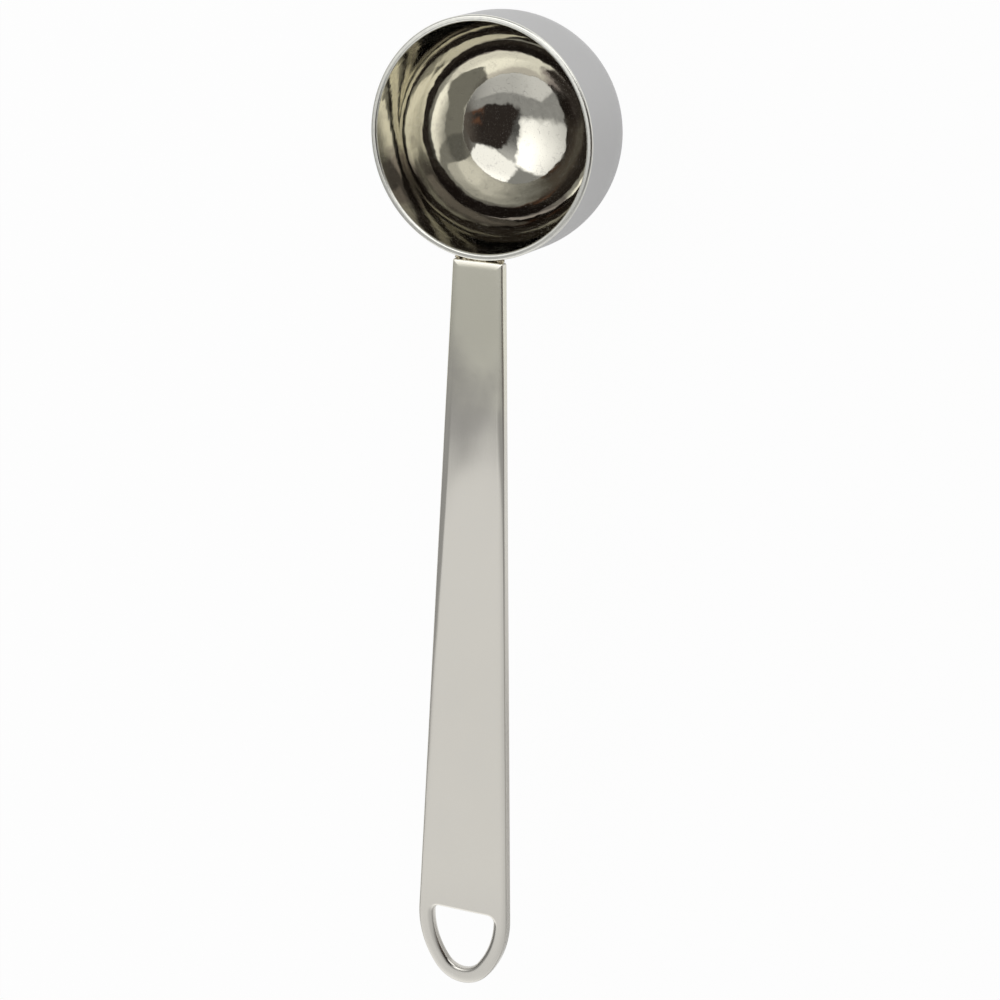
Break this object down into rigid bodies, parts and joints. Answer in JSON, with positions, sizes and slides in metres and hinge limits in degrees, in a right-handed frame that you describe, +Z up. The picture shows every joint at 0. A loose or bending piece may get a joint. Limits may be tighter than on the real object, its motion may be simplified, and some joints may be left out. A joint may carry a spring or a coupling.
{
  "type": "measuring spoon",
  "caption": "Deep round steel measuring bowl with a flat rim, welded to a long flat handle that widens to a D-shaped hanging loop.",
  "frame": {"origin": "centre of the bowl's mouth, in the plane of the rim", "axes": "+Z up out of the bowl, square to the rim; +X along the handle from the bowl to the hanging loop"},
  "size_m": [0.1849, 0.044, 0.029],
  "materials": {
    "bowl_steel": "satin outside, polished inside",
    "handle_steel": "satin, buffed near the bowl",
    "weld_metal": "as welded, with a straw heat tint"
  },
  "bodies": {
    "root": {"bowl": "bowl_steel", "handle": "handle_steel", "weld_seam": "weld_metal", "weld_tack_left": "weld_metal", "weld_tack_right": "weld_metal", "weld_bead_underside": "weld_metal"}
  },
  "joints": []
}
